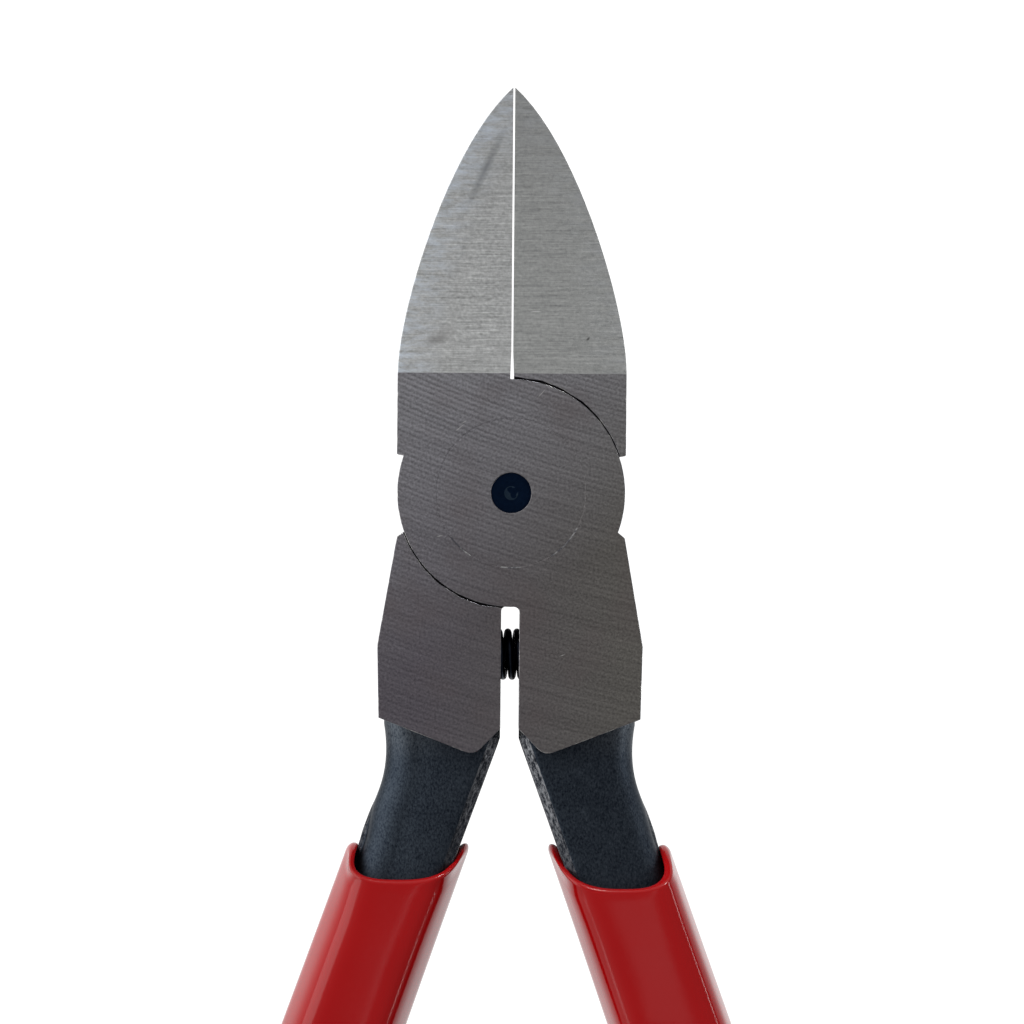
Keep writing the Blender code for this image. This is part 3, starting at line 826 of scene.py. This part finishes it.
def darkSteel(name, dark, light):
    # Steel blackened in hot oil: near black and smooth, with a faint cloudy sheen.
    look = {"mottle": 0.4 * mm, "roughness": (0.25, 0.42)}
    material, tree, shader = startMaterial(name)
    place = addNode(tree, "TexCoord").outputs["Object"]
    mottle = addNode(tree, "TexNoise", {"Scale": 1 / look["mottle"], "Detail": 2.0}, {"Vector": place})
    colour = addNode(
        tree,
        "MixRGB",
        {"Color1": linearColour(dark), "Color2": linearColour(light)},
        {"Fac": mottle.outputs["Fac"]},
    )
    finishSteel(tree, shader, colour.outputs["Color"], mottle.outputs["Fac"], look)
    return material


jointSteel = oxidedJointSteel()
leftBladeSteel = groundBladeSteel("left")
rightBladeSteel = groundBladeSteel("right")
forgedBlack = oxidedForging()
tornFlash = trimmedFlash()
wornEdgeAndGlint = wornEdgeAndGlintSteel()
redVinyl = dippedVinyl()
blackWire = darkSteel("oil-black spring wire", "#161c27", "#2e3540")
bluedHole = darkSteel("blued steel of the centre hole", "#0d1a2f", "#182a44")
# painted reflection of the drill's dimple: paler blued steel
holeReflection = darkSteel("blued steel with a painted reflection", "#26374a", "#3c4d5c")
print("finishes ready")


# Forged halves: the CAD head with ground corners, joined to its neck, and a finish for each zone

forging = {
    "weld": 0.002 * mm,
    "flatAngle": math.radians(0.6),  # facets as level as this become one face
    "cornerAngle": math.radians(24),  # corners sharper than this are rounded
    "smoothAngle": math.radians(40),
    "groundCorner": 0.05 * mm,
    "cornerRoom": 0.15 * mm,  # no rounding beside edges shorter than this
    "thickness": 10 * mm,
    "layerGap": 0.1 * mm,
    "nearby": 0.02 * mm,
    "lapLine": 10.5 * mm,  # the blades start here
    "neckTop": -18.0 * mm,  # below it the CAD shank gives way to the neck
    "roomRadius": 10.3 * mm,
    "roomGap": (0.05 * mm, 0.15 * mm),  # clearance round the disc, at its ledges and at the notch
    "roomWaver": 0.7,
    "waverBeats": (23, 7),  # two rhythms in which the clearance wavers
    "ledge": 3.33 * mm,
    "discRadius": 10 * mm,
    "rivetRadius": 6.58 * mm,
    "edgeWidth": 0.6 * mm,  # no rounding this near the cutting edges
    "rimWidth": 0.3 * mm,  # or this near the rivet's rim
    "skin": 0.2 * mm,  # or deeper than this inside the joint
    "faceMargin": 0.1 * mm,  # the shank lies this far inside the joint's faces
    "sideways": 0.5,  # how far a face leans outwards to count as a blade's back
    "zones": ("joint", "blade", "neck", "trim", "edge"),
}


def tightenDiscRoom(bm, handleSide):  # the clearance round the other disc runs out towards the ledges
    narrow, wide = forging["roomGap"]
    fast, slow = forging["waverBeats"]
    for vert in bm.verts:
        flat = vert.co.to_2d()
        inRoom = (vert.co.z - forging["thickness"] / 2) * handleSide < forging["layerGap"]
        if inRoom and abs(flat.length - forging["roomRadius"]) < forging["nearby"]:
            share = (abs(flat.y) - forging["ledge"]) / (forging["discRadius"] - forging["ledge"])
            turn = math.atan2(flat.y, flat.x)
            uneven = 1 + forging["roomWaver"] * math.sin(fast * turn) * math.sin(slow * turn + 1)
            gap = narrow + (wide - narrow) * min(max(share, 0), 1) * uneven
            vert.co.xy = flat.normalized() * (forging["discRadius"] + gap)


def onTang(face):
    heights = [vert.co.z for vert in face.verts]
    below = face.calc_center_median().y < forging["neckTop"]
    margin = forging["faceMargin"]
    return below and min(heights) > margin and max(heights) < forging["thickness"] - margin


def isGroundCorner(edge):
    ground = all(forging["zones"][face.material_index] in ("joint", "blade") for face in edge.link_faces)
    if len(edge.link_faces) != 2 or not ground or edge.calc_face_angle_signed() < forging["cornerAngle"]:
        return False
    if min(near.calc_length() for vert in edge.verts for near in vert.link_edges) < forging["cornerRoom"]:
        return False
    middle = (edge.verts[0].co + edge.verts[1].co) / 2
    reach = middle.to_2d().length
    cutting = middle.y > forging["lapLine"] - forging["nearby"] / 2 and abs(middle.x) < forging["edgeWidth"]
    rivetRim = abs(reach - forging["rivetRadius"]) < forging["rimWidth"]
    inside = forging["skin"] < middle.z < forging["thickness"] - forging["skin"]
    return not (cutting or rivetRim or inside and reach < forging["discRadius"])


def headZone(face):
    middle = face.calc_center_median()
    outward = face.normal.x * middle.x > forging["sideways"] * abs(middle.x)
    return "blade" if middle.y > forging["lapLine"] and not outward else "joint"


def forgedHead(node, handleSide):
    bm = bmesh.new()
    bm.from_mesh(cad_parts[node].data)
    bmesh.ops.remove_doubles(bm, verts=bm.verts, dist=forging["weld"])
    tightenDiscRoom(bm, handleSide)
    bmesh.ops.delete(bm, geom=[face for face in bm.faces if onTang(face)], context="FACES")
    bmesh.ops.holes_fill(bm, edges=[edge for edge in bm.edges if edge.is_boundary])
    bmesh.ops.recalc_face_normals(bm, faces=bm.faces)
    bmesh.ops.dissolve_limit(bm, angle_limit=forging["flatAngle"], verts=bm.verts, edges=bm.edges)
    for face in bm.faces:
        face.material_index = forging["zones"].index(headZone(face))
    return bm


def roundGroundCorners(mesh):
    bm = bmesh.new()
    bm.from_mesh(mesh)
    rounded = bmesh.ops.bevel(
        bm, geom=[edge for edge in bm.edges if isGroundCorner(edge)], offset=forging["groundCorner"],
        affect="EDGES", segments=2, profile=0.5, material=-1,
    )
    zones = forging["zones"]
    for face in rounded["faces"]:
        if face.material_index == zones.index("joint"):
            face.material_index = zones.index("edge")
    bmesh.ops.remove_doubles(bm, verts=bm.verts, dist=forging["weld"])
    bm.to_mesh(mesh)
    bm.free()


def forgedNeck(side):
    bm = bmesh.new()
    loftRings(bm, neckRings(side))
    bmesh.ops.scale(bm, vec=(side, 1, 1), verts=bm.verts)
    bmesh.ops.recalc_face_normals(bm, faces=bm.faces)
    knot = bm.verts.layers.int["knot"]
    count = len(neckSection(0, 1, 1))
    trimPoints, flashPoints = neck["trimPoints"], neck["flashPoints"]
    trimmedSide = set(range(count // 2 - trimPoints, count // 2 + trimPoints))
    flashSide = {*range(flashPoints), *range(count - flashPoints, count)}
    for face in bm.faces:
        places = {vert[knot] for vert in face.verts}
        trimmed = places <= trimmedSide or places <= flashSide
        face.material_index = forging["zones"].index("trim" if trimmed else "neck")
    return bm


def forgedHalf(name, node, body, handleSide, bladeSteel):
    finishes = [jointSteel, bladeSteel, forgedBlack, tornFlash, wornEdgeAndGlint]
    piece = pieceFrom(forgedHead(node, handleSide), name, finishes, body, node)
    bar = objectFrom(forgedNeck(handleSide), "neck", finishes)
    join = piece.modifiers.new("one forging", "BOOLEAN")
    join.operation = "UNION"
    join.solver = "EXACT"
    join.object = bar
    bpy.context.view_layer.update()
    piece.data = bpy.data.meshes.new_from_object(piece.evaluated_get(bpy.context.evaluated_depsgraph_get()))
    piece.modifiers.clear()
    bpy.data.objects.remove(bar)
    roundGroundCorners(piece.data)
    piece.data.shade_smooth()
    piece.data.set_sharp_from_angle(angle=forging["smoothAngle"])
    even = piece.modifiers.new("even normals", "WEIGHTED_NORMAL")
    even.keep_sharp = True


forgedHalf("front_forging", "front_half", "front", 1, leftBladeSteel)
forgedHalf("rear_forging", "rear_half", "rear", -1, rightBladeSteel)
print("halves ready")


# Rivet: one turned profile, with its blind centre hole in front

rivet = {
    "headRadius": 6.62 * mm,  # driven tight into the front half
    "tailRadius": 6.55 * mm,
    "shankRadius": 4.2 * mm,
    "cone": 2.4 * mm,
    "holeRadius": 1.77 * mm,
    "holeDepth": 3.4 * mm,
    "holeBreak": 0.05 * mm,
    "dimple": (0.62 * mm, 1.0 * mm, 0.11 * mm),  # floor and rim radius and depth, where the drill stopped
    "dimpleSteps": 8,
    "dimpleReflection": (Vector((0.2, 0.14)) * mm, 0.46 * mm, 0.3),  # the dimple's reflection is painted paler outside this uneven circle
    "reflectionLobes": 3,
    "headBreak": 0.012 * mm,
    "rimCrevice": 0.13 * mm,  # width of the crevice at the rim
    "rimDepth": 0.015 * mm,
    "glints": ((-57, -27), (-98, -82), (-146, -122)),  # where glints are painted on the rim, in degrees
    "steps": 144,
    "smoothAngle": math.radians(30),
    "zones": ("face", "hole", "rim", "dimpleReflection"),
}


def turnedRivet():
    top = forging["thickness"]
    floorHeight = top - rivet["holeDepth"]
    dimpleFloor, dimpleRim, dimpleDepth = rivet["dimple"]
    count = rivet["dimpleSteps"]
    profile = [(dimpleFloor * i / count, floorHeight - dimpleDepth) for i in range(count + 1)]
    profile += [
        (dimpleRim, floorHeight),
        (rivet["holeRadius"], floorHeight),
        (rivet["holeRadius"], top - rivet["holeBreak"]),
        (rivet["holeRadius"] + rivet["holeBreak"], top),
        (rivet["headRadius"] - rivet["rimCrevice"] - rivet["headBreak"], top),
        (rivet["headRadius"] - rivet["rimCrevice"], top - rivet["rimDepth"]),
        (rivet["headRadius"] - rivet["headBreak"], top),
        (rivet["headRadius"] - rivet["headBreak"] / 4, top - rivet["headBreak"]),
        (rivet["shankRadius"], top - rivet["cone"]),
        (rivet["shankRadius"], rivet["cone"]),
        (rivet["tailRadius"], rivet["headBreak"]),
        (rivet["tailRadius"] - rivet["headBreak"], 0),
        (0, 0),
    ]
    bm = bmesh.new()
    knots = [bm.verts.new((radius, 0, height)) for radius, height in profile]
    lines = [bm.edges.new(pair) for pair in zip(knots, knots[1:])]
    bmesh.ops.spin(
        bm, geom=knots + lines, cent=(0, 0, 0), axis=(0, 0, 1),
        angle=math.tau, steps=rivet["steps"], use_merge=True,
    )
    bmesh.ops.remove_doubles(bm, verts=bm.verts, dist=forging["weld"])
    bmesh.ops.recalc_face_normals(bm, faces=bm.faces)
    centre, radius, uneven = rivet["dimpleReflection"]
    for face in bm.faces:
        middle = face.calc_center_median()
        reach = middle.to_2d().length
        inHole = reach < rivet["holeRadius"] and middle.z > rivet["cone"]
        onRim = reach > rivet["headRadius"] - rivet["rimCrevice"] and middle.z > top - rivet["rimDepth"]
        turn = math.degrees(math.atan2(middle.y, middle.x))
        wearAndSheen = middle.to_2d() - centre
        dark = radius * (1 + uneven * math.sin(rivet["reflectionLobes"] * math.atan2(wearAndSheen.y, wearAndSheen.x)))
        zone = "face"
        # painted reflection: the dimple's floor is painted paler outside the dark spot
        if inHole and reach < dimpleFloor and wearAndSheen.length > dark:
            zone = "dimpleReflection"
        elif inHole and middle.z < top - rivet["holeBreak"]:
            zone = "hole"
        # painted glints: the rim takes the bright finish only at the listed angles
        elif onRim and any(first < turn < last for first, last in rivet["glints"]):
            zone = "rim"
        face.material_index = rivet["zones"].index(zone)
    finishes = [jointSteel, bluedHole, wornEdgeAndGlint, holeReflection]
    piece = pieceFrom(bm, "flush_rivet", finishes, "front", "pivot_rivet")
    piece.data.shade_smooth()
    piece.data.set_sharp_from_angle(angle=rivet["smoothAngle"])


turnedRivet()
print("rivet ready")


# Return spring: closed turns at both ends, open turns between, in the two pockets

spring = {
    "reach": -14.2 * mm,
    "height": 5 * mm,
    "coilRadius": 1.98 * mm,
    "wireRadius": 0.3 * mm,
    "halfLength": 4.80 * mm,
    "endTurns": 1.0,
    "openTurns": 10.5,
    "endPitch": 0.66 * mm,
    "stepsPerTurn": 40,
    "wireSides": 14,
    "smoothAngle": math.radians(60),
    "bendStart": (-3.2 * mm, -14.2 * mm, 5 * mm),
    "bendEnd": (3.2 * mm, -14.2 * mm, 5 * mm),
}


def coiledSpring():
    bm = bmesh.new()
    bmesh.ops.create_circle(bm, segments=spring["wireSides"], radius=spring["wireRadius"])
    start = (-spring["halfLength"], spring["reach"] + spring["coilRadius"], spring["height"])
    bmesh.ops.translate(bm, vec=start, verts=bm.verts)
    endLength = spring["endTurns"] * spring["endPitch"]
    openLength = 2 * spring["halfLength"] - 2 * endLength
    runs = (
        (spring["endTurns"], endLength),
        (spring["openTurns"], openLength),
        (spring["endTurns"], endLength),
    )
    ring = bm.verts[:] + bm.edges[:]
    firstEdges = bm.edges[:]
    for turns, length in runs:
        steps = round(turns * spring["stepsPerTurn"])
        wound = bmesh.ops.spin(
            bm, geom=ring, cent=(0, spring["reach"], spring["height"]), axis=(1, 0, 0),
            dvec=(length / steps, 0, 0), angle=math.tau * turns, steps=steps,
        )
        ring = wound["geom_last"]
    lastEdges = [part for part in ring if isinstance(part, bmesh.types.BMEdge)]
    for edges in (firstEdges, lastEdges):
        bmesh.ops.edgeloop_fill(bm, edges=edges)
    bmesh.ops.recalc_face_normals(bm, faces=bm.faces)
    piece = pieceFrom(bm, "coil_spring", [blackWire], None, "return_spring")
    piece.data.shade_smooth()
    piece.data.set_sharp_from_angle(angle=spring["smoothAngle"])
    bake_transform(piece)


coiledSpring()
print("spring ready")


# Vinyl sleeves: one closed skin, up the inside, over the rolled lip and down the outside to the nose

sleeve = {
    "mouth": 12.5 * mm,
    "end": 105.9 * mm,
    "nose": 4.5 * mm,
    "halfWidth": 5.1 * mm,
    "halfDepth": 4.95 * mm,
    "wall": 0.9 * mm,
    "section": {  # how sharp the corners are, and how far the sides slope in towards the front and back
        "inside": Vector((6.0, 0.0)),
        "crest": Vector((6.0, 0.08)),
        "lip": Vector((7.0, 0.24)),
        "grip": Vector((7.0, 0.28)),
        "nose": Vector((2.6, 0.06)),
    },
    "slant": {1: (0.85, 0.5), -1: (0.95, 1.2)},  # share of that slope, inner and outer side, right and left
    "partingRound": 0.15,  # of the ridge where the sloping sides meet
    "squaring": 8 * mm,  # from the lip to the full grip section
    "rounding": 14 * mm,  # from that section to the round tip of the nose
    "swell": (0.057, 0.008),  # of the width and depth at the palm
    "lip": (0.4 * mm, 0.8 * mm),  # length of the lip's inner and outer rounding
    "lipCrest": 0.45 * mm,  # how far in from the outside the lip is highest
    "lipSteps": 8,
    "noseSteps": 12,
    "fade": 9 * mm,  # how far down the lip's dips are felt
    "dip": {1: 4.0 * mm, -1: 3.3 * mm},  # how far the front and back of the lip dip, right and left
    "dipPower": 2.7,  # how flat the bottom of the dip is: 2 is an ellipse
    "earPower": 4.5,  # how broad the crests at the sides are
    "sides": 108,
    "step": 1.5 * mm,
}


def sleeveStations():  # distance along the handle, share of the section, wall inset, sharpness and slope
    wall, crest, section = sleeve["wall"], sleeve["lipCrest"], sleeve["section"]
    mouth, (lipIn, lipOut) = sleeve["mouth"], sleeve["lip"]
    noseStart = sleeve["end"] - sleeve["nose"]
    count = round((noseStart - mouth - lipOut) / sleeve["step"])
    body = [mouth + lipOut + (noseStart - mouth - lipOut) * i / count for i in range(count + 1)]
    noseTurns = [math.pi / 2 * i / sleeve["noseSteps"] for i in range(1, sleeve["noseSteps"])]
    lipTurns = [math.pi / 2 * i / sleeve["lipSteps"] for i in range(sleeve["lipSteps"] + 1)]
    stations = []
    for turn in noseTurns[::-1]:
        distance = noseStart + (sleeve["nose"] - wall) * math.sin(turn)
        stations.append((distance, math.cos(turn), wall, section["inside"]))
    for distance in body[::-1]:
        stations.append((distance, 1, wall, section["inside"]))
    for turn in lipTurns:
        square = section["inside"].lerp(section["crest"], math.sin(turn))
        inset = crest + (wall - crest) * math.cos(turn)
        stations.append((mouth + lipIn * (1 - math.sin(turn)), 1, inset, square))
    for turn in lipTurns[-2:0:-1]:
        square = section["lip"].lerp(section["crest"], math.sin(turn))
        inset = crest * (1 - math.cos(turn))
        stations.append((mouth + lipOut * (1 - math.sin(turn)), 1, inset, square))
    outside = [(distance, 1) for distance in body]
    outside += [(noseStart + sleeve["nose"] * math.sin(turn), math.cos(turn)) for turn in noseTurns]
    for distance, share in outside:
        squared = easeBetween(distance, body[0], mouth + sleeve["squaring"])
        rounded = easeBetween(distance, sleeve["end"] - sleeve["rounding"], sleeve["end"])
        square = section["lip"].lerp(section["grip"], squared).lerp(section["nose"], rounded)
        stations.append((distance, share, 0, square))
    return stations


def sleevePoint(turn, station, side):  # the lip stands square to the tool, with dips at front and back
    distance, share, inset, (power, slope) = station
    past = distance - sleeve["mouth"]
    palm = math.sin(math.pi * min(max(past / (sleeve["end"] - sleeve["mouth"]), 0), 1)) ** 2
    wider, deeper = sleeve["swell"]
    sideward, frontward = math.cos(turn), math.sin(turn)
    ridge = sleeve["partingRound"] * abs(sideward)
    slant = slope * sleeve["slant"][side][1 if sideward > 0 else 0]
    across = abs(sideward) + slant * (math.hypot(frontward, ridge) - ridge)
    reach = share * (across ** power + abs(frontward) ** power) ** (-1 / power)
    x = sideward * reach * (sleeve["halfWidth"] * (1 + wider * palm) - inset)
    z = frontward * reach * (sleeve["halfDepth"] * (1 + deeper * palm) - inset)
    earPower, dipPower = sleeve["earPower"], sleeve["dipPower"]
    lipReach = abs(sideward) * (abs(sideward) ** earPower + abs(frontward) ** earPower) ** (-1 / earPower)
    arch = max(0, 1 - lipReach ** dipPower) ** (1 / dipPower)
    place, heading = handlePoint(distance)
    fade = max(0, 1 - max(0, past) / sleeve["fade"])
    shift = fade * (x * math.tan(heading) + sleeve["dip"][side] * arch)
    turned = Matrix.Translation((*place, handle["height"])) @ Matrix.Rotation(heading, 4, "Z")
    return turned @ Vector((x, -shift, z))


def vinylSleeve(name, node, body, side):
    turns = [math.tau * i / sleeve["sides"] for i in range(sleeve["sides"])]
    bm = bmesh.new()
    loftRings(bm, [[sleevePoint(turn, station, side) for turn in turns] for station in sleeveStations()])
    bmesh.ops.scale(bm, vec=(side, 1, 1), verts=bm.verts)
    bmesh.ops.recalc_face_normals(bm, faces=bm.faces)
    piece = pieceFrom(bm, name, [redVinyl], body, node)
    piece.data.shade_smooth()


vinylSleeve("right_sleeve", "right_grip", "front", 1)
vinylSleeve("left_sleeve", "left_grip", "rear", -1)
print("sleeves ready")
